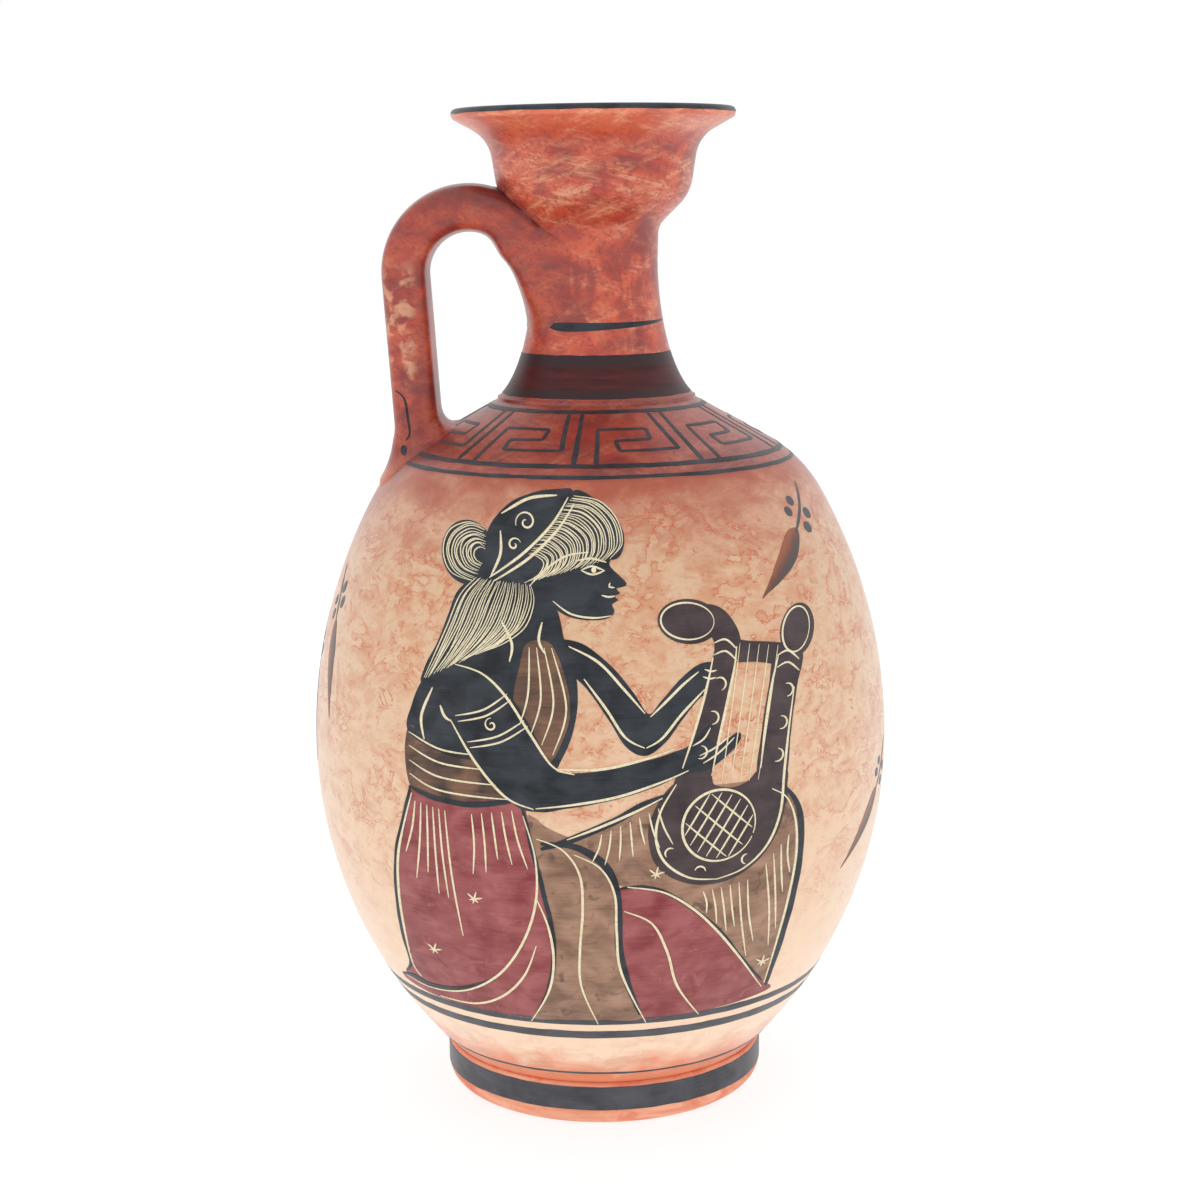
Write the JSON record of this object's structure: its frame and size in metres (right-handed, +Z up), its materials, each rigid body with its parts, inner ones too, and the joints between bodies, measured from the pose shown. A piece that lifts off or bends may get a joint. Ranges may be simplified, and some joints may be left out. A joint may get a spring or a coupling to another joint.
{
  "type": "lekythos",
  "caption": "Clay oil flask with an ovoid body on a ring foot, a waisted neck, a calyx mouth and a strap handle from shoulder to neck, painted in the black-figure manner.",
  "frame": {"origin": "centre of the foot's resting face, on the flask's axis", "axes": "+Z up along the flask's axis, -Y towards the painted front, -X towards the handle"},
  "size_m": [0.1464, 0.1464, 0.25],
  "materials": {
    "foot_clay": "satin",
    "pale_wash": "satin",
    "red_slip": "satin",
    "black_paint": "satin",
    "dark_red_paint": "satin",
    "brown_paint": "satin",
    "plum_paint": "satin",
    "scratched_clay": "matt"
  },
  "bodies": {
    "root": {"foot_ring": "foot_clay", "body_shell": "pale_wash", "neck": "red_slip", "mouth_cup": "red_slip", "strap_handle": "red_slip"}
  },
  "joints": []
}
